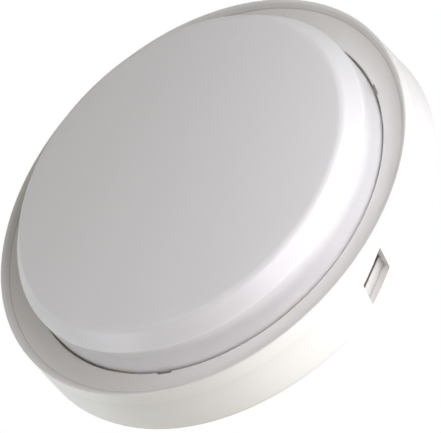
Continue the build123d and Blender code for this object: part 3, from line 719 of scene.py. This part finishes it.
def drum_housing(finish):
    """Outer moulding: wall, lip, ring with bayonet notches, window collars, stops and gussets."""
    past = 1.0 * MM
    skin = wall_radius(WINDOW_DEPTH)
    collar_end = skin - COLLAR_DEPTH
    solid = bmesh.new()
    drum_outline(solid)
    turn_outline(solid)

    def collar(bm):
        length = WINDOW_LENGTH + 2 * COLLAR_WALL
        width = WINDOW_WIDTH + 2 * COLLAR_WALL
        window_brick(bm, length, width, (collar_end, skin - DRUM_WALL / 2))

    def opening(bm):
        radial = (collar_end - past, skin + 2 * past)
        window_brick(bm, WINDOW_LENGTH, WINDOW_WIDTH, radial, WINDOW_ROUND)

    def notch(bm):
        reach = DIFFUSER_RADIUS + LUG_REACH + LUG_CLEARANCE
        half = LUG_WIDTH / 2 + LUG_CLEARANCE
        brick(bm, (DIFFUSER_RADIUS - past, reach), (-half, half), (RING_UNDERSIDE - past, DRUM_DEPTH))

    def stop(bm):
        brick(
            bm,
            (RING_INNER[0] + STOP_CLEARANCE, RING_INNER[0] + STOP_REACH),
            (-STOP_WIDTH / 2, STOP_WIDTH / 2),
            (DIFFUSER_BASE + STOP_CLEARANCE, RING_UNDERSIDE + DRUM_WALL / 2),
        )

    def gusset(bm):
        inside = DRUM_RADIUS - DRUM_WALL / 2
        top = RING_OUTER[1] - DRUM_WALL
        made = brick(
            bm,
            (inside - GUSSET_REACH, inside),
            (-GUSSET_THICKNESS / 2, GUSSET_THICKNESS / 2),
            (top - GUSSET_HEIGHT, top + DRUM_WALL / 2),
        )
        corner = [v for v in made if v.co.x < inside - past and -v.co.y < top - past]
        edge = [e for e in corner[0].link_edges if e.other_vert(corner[0]) in corner]
        bmesh.ops.bevel(
            bm, geom=edge, offset=GUSSET_REACH - DRUM_WALL, segments=1, profile=0.5,
            affect="EDGES", material=-1,
        )

    # From the middle of a locked lug to the middle of the stop beside it
    stop_lag = (LUG_WIDTH / 2 + STOP_CLEARANCE + STOP_WIDTH / 2) / DIFFUSER_RADIUS
    first_stop = NOTCH_ANGLE - BAYONET_TURN - stop_lag
    first_gusset = CATCH_ANGLE + pi / GUSSET_COUNT
    solid = combine(solid, copied_around(collar, CATCH_COUNT, CATCH_ANGLE), "UNION")
    solid = combine(solid, copied_around(gusset, GUSSET_COUNT, first_gusset), "UNION")
    solid = combine(solid, copied_around(stop, LUG_COUNT, first_stop), "UNION")
    solid = combine(solid, copied_around(opening, CATCH_COUNT, CATCH_ANGLE), "DIFFERENCE")
    solid = combine(solid, copied_around(notch, LUG_COUNT, NOTCH_ANGLE), "DIFFERENCE")
    round_edges(solid, window_rims(solid), WINDOW_EDGE_ROUND)
    return new_piece("drum_shell", solid, "fixture", finish, "drum_housing")


def window_rims(bm):
    """The edges round the side windows on the drum's outer face."""
    found = []
    for edge in bm.edges:
        if len(edge.link_faces) != 2 or edge.calc_face_angle() < RIM_ANGLE:
            continue
        radii = [hypot(v.co.x, v.co.z) for v in edge.verts]
        depths = [-v.co.y for v in edge.verts]
        outside = all(abs(r - wall_radius(d)) < NEAR_WALL for r, d in zip(radii, depths))
        clear = all(DRUM_REAR + MM < d < RING_OUTER[1] for d in depths)
        if outside and clear:
            found.append(edge)
    return found


def inset_corner(corner, first, second, depth):
    """A corner of an outline moved inwards by depth from both of its sides' outward normals."""
    share = depth / (1 + first[0] * second[0] + first[1] * second[1])
    return (corner[0] - share * (first[0] + second[0]), corner[1] - share * (first[1] + second[1]))


def diffuser_outline(bm, depth, bottom):
    """Starts half of the diffuser's section, moved inwards by depth, with the arc of its dome.

    Returns the arc's last vert, and the next two corners as points: the shoulder, and the foot at
    bottom.
    """
    side_radius = DIFFUSER_RADIUS - DIFFUSER_DRAFT
    face_radius = side_radius - BEVEL_WIDTH
    bevel_top = DIFFUSER_FRONT - DOME_RISE
    side_top = bevel_top - BEVEL_HEIGHT
    dome_radius = (face_radius**2 + DOME_RISE**2) / (2 * DOME_RISE)
    dome_centre = bevel_top + DOME_RISE - dome_radius
    slope = asin(face_radius / dome_radius)
    bevel_angle = atan2(BEVEL_WIDTH, BEVEL_HEIGHT)
    bevel_normal = (cos(bevel_angle), sin(bevel_angle))
    face_normal = (sin(slope), cos(slope))
    side_normal = (1.0, 0.0)
    shoulder = inset_corner((side_radius, side_top), side_normal, bevel_normal, depth)
    edge = inset_corner((face_radius, bevel_top), bevel_normal, face_normal, depth)
    edge_radius = hypot(edge[0], edge[1] - dome_centre)
    centre = bm.verts.new(at(0.0, dome_centre + edge_radius))
    arc = bmesh.ops.spin(
        bm, geom=[centre], cent=at(0.0, dome_centre), axis=(0.0, 0.0, 1.0),
        angle=asin(edge[0] / edge_radius), steps=DOME_STEPS,
    )
    return arc["geom_last"][0], shoulder, (DIFFUSER_RADIUS - depth, bottom)


def chain(bm, start, points):
    """Runs edges from a vert through points of a section. Returns the new verts."""
    made = []
    for point in points:
        made.append(bm.verts.new(at(*point)))
        bm.edges.new((start, made[-1]))
        start = made[-1]
    return made


def diffuser(finish):
    """Opal moulding: side wall, bevel band, domed face and three bayonet lugs."""
    bm = bmesh.new()
    edge, shoulder, foot = diffuser_outline(bm, 0.0, DIFFUSER_BASE)
    lug_line = (DIFFUSER_RADIUS, DIFFUSER_BASE + LUG_THICKNESS + LUG_CLEARANCE)
    outer = chain(bm, edge, [shoulder, lug_line, foot])
    inner_edge, inner_shoulder, inner_foot = diffuser_outline(bm, DIFFUSER_WALL, DIFFUSER_BASE)
    inner = chain(bm, outer[-1], [inner_foot, inner_shoulder])
    bm.edges.new((inner[-1], inner_edge))
    fillet(bm, outer[0], CREASE_ROUND)
    fillet(bm, inner[-1], CREASE_ROUND - DIFFUSER_WALL / 2)
    fillet(bm, edge, FACE_ROUND)
    fillet(bm, inner_edge, FACE_ROUND - DIFFUSER_WALL / 2)
    turn_outline(bm)

    def lug(part):
        made = brick(
            part,
            (DIFFUSER_RADIUS - DIFFUSER_WALL / 2, DIFFUSER_RADIUS + LUG_REACH),
            (-LUG_WIDTH / 2, LUG_WIDTH / 2),
            (DIFFUSER_BASE, DIFFUSER_BASE + LUG_THICKNESS),
        )
        edges = {e for v in made for e in v.link_edges}
        outer_edges = [
            e for e in edges if all(v.co.x > DIFFUSER_RADIUS for v in e.verts)
            and abs((e.verts[0].co - e.verts[1].co).y) > TINY
        ]
        round_edges(part, outer_edges, LUG_REACH / 4)

    lugs = copied_around(lug, LUG_COUNT, NOTCH_ANGLE - BAYONET_TURN)
    bm = combine(bm, lugs, "UNION")
    return new_piece("diffuser_shell", bm, "diffuser", finish, "diffuser")


def gasket_ring(bm):
    """The gasket's section turned full circle: skirts astride the rim, and a flange under the gap."""
    middle = RIM_RADIUS - RIM_WALL / 2
    inner = middle - GASKET_WIDTH / 2
    outer = middle + GASKET_WIDTH / 2
    section(bm, [
        (inner, DIFFUSER_BASE, GASKET_ROUND),
        (inner, GASKET_BOTTOM, GASKET_ROUND),
        (inner + GASKET_SKIRT_WALL, GASKET_BOTTOM, GASKET_ROUND),
        (middle - RIM_WALL / 2, RIM_TOP, 0.0),
        (middle + RIM_WALL / 2, RIM_TOP, 0.0),
        (outer - GASKET_SKIRT_WALL, GASKET_BOTTOM, GASKET_ROUND),
        (outer, GASKET_BOTTOM, GASKET_ROUND),
        (outer, DIFFUSER_BASE - GASKET_FLANGE_THICKNESS, GASKET_ROUND),
        (GASKET_EDGE, DIFFUSER_BASE - GASKET_FLANGE_THICKNESS, GASKET_ROUND),
        (GASKET_EDGE, DIFFUSER_BASE, GASKET_ROUND),
    ])
    turn_outline(bm)


def gasket_tab(bm, angle, width):
    """A tongue of the gasket that stands up in the gap round the diffuser, with a rippled top."""
    outer = RING_INNER[0] - (RING_INNER[0] - DIFFUSER_RADIUS - TAB_WALL) / 2
    low = DIFFUSER_BASE - GASKET_FLANGE_THICKNESS / 2
    section(bm, [
        (outer - TAB_WALL, low, 0.0),
        (outer, low, 0.0),
        (outer, TAB_TOP, GASKET_ROUND),
        (outer - TAB_WALL, TAB_TOP, GASKET_ROUND),
    ])
    bmesh.ops.delete(bm, geom=bm.faces[:], context="FACES_ONLY")
    half = width / (2 * outer)
    bmesh.ops.transform(bm, matrix=turned_about(-half), verts=bm.verts)
    bmesh.ops.spin(
        bm, geom=bm.verts[:] + bm.edges[:], cent=(0.0, 0.0, 0.0), axis=(0.0, 1.0, 0.0),
        angle=-2 * half, steps=TAB_STEPS,
    )
    bmesh.ops.holes_fill(bm, edges=bm.edges)
    bmesh.ops.recalc_face_normals(bm, faces=bm.faces)
    for vert in bm.verts:
        share = atan2(vert.co.z, vert.co.x) / half
        rise = max(-vert.co.y - DIFFUSER_BASE, 0.0)
        ripple = TAB_RIPPLE * abs(noise.noise(Vector((TAB_WAVES * share, angle, 0.0))))
        vert.co.y += (ripple + TAB_WALL * share**4) * rise / (TAB_TOP - DIFFUSER_BASE)
    bmesh.ops.transform(bm, matrix=turned_about(angle), verts=bm.verts)


def diffuser_gasket(finish):
    """Silicone ring between the base pan's rim and the diffuser."""
    solid = bmesh.new()
    gasket_ring(solid)
    for angle, width in zip(TAB_ANGLES, TAB_WIDTHS):
        tab = bmesh.new()
        gasket_tab(tab, angle, width)
        solid = combine(solid, tab, "UNION")
    return new_piece("gasket_ring", solid, "fixture", finish, "diffuser_gasket")


def wall_gasket(finish):
    """Foam ring in the rear face, with its cut edges slightly rounded."""
    bm = bmesh.new()
    inner = WALL_GASKET_EDGE - WALL_GASKET_WIDTH
    section(bm, [
        (inner, 0.0, GASKET_ROUND),
        (WALL_GASKET_EDGE, 0.0, GASKET_ROUND),
        (WALL_GASKET_EDGE, WALL_GASKET_DEPTH, GASKET_ROUND),
        (inner, WALL_GASKET_DEPTH, GASKET_ROUND),
    ])
    turn_outline(bm)
    return new_piece("foam_ring", bm, "fixture", finish, "wall_gasket")


def cable_grommet(finish):
    """Rubber grommet of the cable entry."""
    bm = bmesh.new()
    lip = ENTRY_RADIUS + ENTRY_LIP - GROMMET_LIP_CLEARANCE
    groove = ENTRY_RADIUS - GROMMET_CLEARANCE
    head = FLOOR_THICKNESS + GROMMET_HEAD
    section(bm, [
        (ENTRY_BORE_RADIUS, 0.0, GASKET_ROUND),
        (lip, 0.0, GASKET_ROUND),
        (lip, ENTRY_LIP_THICKNESS, GASKET_ROUND),
        (groove, ENTRY_LIP_THICKNESS, 0.0),
        (groove, FLOOR_THICKNESS, 0.0),
        (lip, FLOOR_THICKNESS, GASKET_ROUND),
        (ENTRY_BORE_RADIUS + GROMMET_HEAD_WALL, head, GASKET_ROUND),
        (ENTRY_BORE_RADIUS, head, GASKET_ROUND),
    ])
    turn_outline(bm)
    low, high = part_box("cable_grommet")
    bmesh.ops.translate(bm, verts=bm.verts, vec=(0.0, 0.0, (low.z + high.z) / 2))
    return new_piece("entry_grommet", bm, "fixture", finish, "cable_grommet")


def merged_copy(node):
    """A copy of a CAD node's mesh, with its loose faces joined."""
    bm = bmesh.new()
    bm.from_mesh(frame["nodes"][node].data)
    bmesh.ops.remove_doubles(bm, verts=bm.verts, dist=TINY)
    return bm


def soften(node, bm, body, finish, size, segments=2):
    """A solid with its flat faces joined and its edges slightly rounded, in a CAD node's place."""
    bmesh.ops.dissolve_limit(bm, angle_limit=FLAT_ANGLE, verts=bm.verts, edges=bm.edges)
    sharp = [e for e in bm.edges if len(e.link_faces) == 2 and e.calc_face_angle() > SHARP_ANGLE]
    round_edges(bm, sharp, size, segments)
    return new_piece(node + "_piece", bm, body, finish, node)


def catch(index, finish):
    """A sprung catch: the CAD's neck and flange, and a nose with the form of its window.

    The nose has a raised face at the rear and a low ledge in front of it.
    """
    node = f"catch_{index + 1}"
    turn = turned_about(catch_angle(index))
    bm = merged_copy(node)
    bmesh.ops.transform(bm, matrix=turn.inverted(), verts=bm.verts)
    whole = bm.verts[:] + bm.edges[:] + bm.faces[:]
    cut = bmesh.ops.bisect_plane(
        bm, geom=whole, plane_co=(NECK_CUT, 0.0, 0.0), plane_no=(1.0, 0.0, 0.0), clear_outer=True,
    )
    rim = [item for item in cut["geom_cut"] if isinstance(item, bmesh.types.BMEdge)]
    bmesh.ops.holes_fill(bm, edges=rim)
    length = WINDOW_LENGTH - 2 * NOSE_GAP
    for top, front_gap in ((NOSE_LEDGE, 2 * NOSE_GAP), (NOSE_FACE, NOSE_FRONT_GAP)):
        nose = bmesh.new()
        width = WINDOW_WIDTH - NOSE_GAP - front_gap
        window_brick(nose, length, width, (NOSE_BACK, top), 2 * NOSE_GAP, (NOSE_GAP - front_gap) / 2)
        bm = combine(bm, nose, "UNION")
    bmesh.ops.transform(bm, matrix=turn, verts=bm.verts)
    return soften(node, bm, node, finish, NOSE_ROUND)


def catch_spring(index, finish):
    """A catch's leaf spring, as a piece with a mesh of its own. The real spring flattens against its
    guide as the catch is pressed.
    """
    node = f"catch_spring_{index + 1}"
    spring = new_piece(node + "_piece", merged_copy(node), "fixture", finish, node)
    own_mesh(spring)


# Stage and lights

def add_lamp(name, angle, rise, power, colour, distance=1.0, size=0.5):
    """A square soft box that faces the light.

    Its angle is counted about the light's axis from +X to +Z, and its rise from the wall plane to
    the front, both in degrees. Its power is in watts.
    """
    lamp = bpy.data.lights.new(name, "AREA")
    lamp.shape = "SQUARE"
    lamp.size = size
    lamp.energy = power
    lamp.color = colour
    placed = bpy.data.objects.new(name, lamp)
    bpy.context.scene.collection.objects.link(placed)
    level = cos(radians(rise))
    way = Vector((cos(radians(angle)) * level, -sin(radians(rise)), sin(radians(angle)) * level))
    placed.location = way * distance
    placed.rotation_mode = "QUATERNION"
    placed.rotation_quaternion = way.to_track_quat("Z", "Y")


def add_world(ambient, strength):
    """Soft light all round. The camera, and mirror and glass surfaces, see plain white."""
    world = bpy.data.worlds.new("studio")
    world.use_nodes = True
    sky = Shading(world.node_tree)
    seen = sky.node("LightPath", output="Is Camera Ray")
    for ray in ("Is Glossy Ray", "Is Transmission Ray"):
        seen = sky.math("MAXIMUM", seen, sky.node("LightPath", output=ray))
    soft = sky.node("Background", {}, {"Color": ambient, "Strength": strength})
    white = sky.node("Background", {}, {"Color": (1.0, 1.0, 1.0), "Strength": 1.0})
    light = sky.node("MixShader", {}, {"Fac": seen, 1: soft, 2: white})
    sky.feed(sky.tree.nodes["World Output"].inputs["Surface"], light)
    bpy.context.scene.world = world


def add_floor():
    """A plain pale floor, well below the light."""
    bm = bmesh.new()
    bmesh.ops.create_grid(bm, x_segments=1, y_segments=1, size=FLOOR_REACH)
    bmesh.ops.translate(bm, verts=bm.verts, vec=(0.0, 0.0, FLOOR_HEIGHT))
    mesh = bpy.data.meshes.new("floor")
    bm.to_mesh(mesh)
    bm.free()
    floor = bpy.data.objects.new("floor", mesh)
    bpy.context.scene.collection.objects.link(floor)
    finish = Finish("floor", Base_Color=(0.9, 0.9, 0.9), Roughness=0.8)
    floor.data.materials.append(finish.material)


def paint(finishes):
    """Gives each CAD node that stays its material, by the record's slots."""
    slots = {part["node"]: part["material_slot"] for part in frame["record"]["subparts"]}
    for name, node in frame["nodes"].items():
        node.data.materials.clear()
        node.data.materials.append(finishes[slots[name]])


def make_finishes():
    """Every material, by the record's slot."""
    white = (0.755, 0.745, 0.725)
    white_tint = (0.77, 0.762, 0.745)
    return {
        "housing_white": moulded("housing_white", white, white_tint, 0.42, corner_shade_and_dust),
        "opal": opal(),
        "silicone": silicone(),
        "base_white": moulded("base_white", (0.70, 0.70, 0.695), (0.73, 0.73, 0.725), 0.5),
        "foam": foam(),
        "white_steel": enamel("white_steel", (0.86, 0.86, 0.85)),
        "board_white": solder_mask(),
        "led_yellow": phosphor(),
        "plug_white": moulded("plug_white", (0.82, 0.81, 0.76), (0.84, 0.83, 0.79), 0.4),
        "driver_white": moulded("driver_white", (0.76, 0.76, 0.75), (0.79, 0.79, 0.78), 0.45),
        "terminal_white": moulded("terminal_white", (0.83, 0.82, 0.78), (0.85, 0.84, 0.80), 0.4),
        "brass": metal("brass", (0.72, 0.53, 0.22), 0.25, (0.52, 0.36, 0.14)),
        "clamp_white": moulded("clamp_white", (0.78, 0.78, 0.75), (0.80, 0.80, 0.78), 0.45),
        "grommet_rubber": rubber("grommet_rubber", (0.03, 0.03, 0.03)),
        "lead_brown": insulation("lead_brown", (0.20, 0.085, 0.035)),
        "lead_blue": insulation("lead_blue", (0.05, 0.16, 0.48)),
        "lead_red": insulation("lead_red", (0.55, 0.035, 0.025)),
        "lead_black": insulation("lead_black", (0.018, 0.018, 0.018)),
        "spring_steel": metal("spring_steel", (0.58, 0.58, 0.57), 0.22, (0.46, 0.44, 0.40)),
        "cover_white": moulded("cover_white", (0.78, 0.78, 0.76), (0.80, 0.80, 0.78), 0.45),
        "catch_white": moulded("catch_white", (0.80, 0.79, 0.76), (0.83, 0.82, 0.79), 0.35, gap_shade),
        "zinc_steel": metal("zinc_steel", (0.62, 0.62, 0.58), 0.3, (0.5, 0.48, 0.42)),
    }


add_camera()
finishes = make_finishes()
paint(finishes)
drum_housing(finishes["housing_white"])
diffuser(finishes["opal"])
diffuser_gasket(finishes["silicone"])
wall_gasket(finishes["foam"])
cable_grommet(finishes["grommet_rubber"])
for i in range(CATCH_COUNT):
    catch(i, finishes["catch_white"])
    catch_spring(i, finishes["spring_steel"])

add_world(ambient=(1.0, 0.9, 0.78), strength=0.26)
add_lamp(
    "right_soft_box", angle=0, rise=25, power=1.3, colour=(0.93, 0.95, 1.0),
    distance=0.6, size=0.3,
)
add_lamp(
    "front_right_soft_box", angle=-20, rise=45, power=1.0, colour=(0.88, 0.96, 1.0),
    distance=0.8, size=0.4,
)
add_lamp(
    "lower_right_soft_box", angle=-50, rise=30, power=2.0, colour=(1.0, 0.9, 0.97),
    distance=0.8, size=0.4,
)
add_lamp("left_soft_box", angle=-150, rise=20, power=2.6, colour=(0.87, 0.93, 1.0))
add_lamp(
    "top_soft_box", angle=95, rise=50, power=0.3, colour=(0.9, 0.95, 1.0),
    distance=0.9, size=0.4,
)
add_lamp(
    "rear_right_soft_box", angle=-30, rise=-15, power=1.8, colour=(0.93, 0.94, 1.0),
    distance=0.6, size=0.3,
)
add_lamp("rear_lower_soft_box", angle=-80, rise=-30, power=2.3, colour=(0.95, 1.0, 0.88))
add_lamp("rear_left_soft_box", angle=-175, rise=-20, power=1.3, colour=(0.9, 1.0, 1.0))
add_floor()
bpy.context.scene.view_settings.view_transform = "Standard"
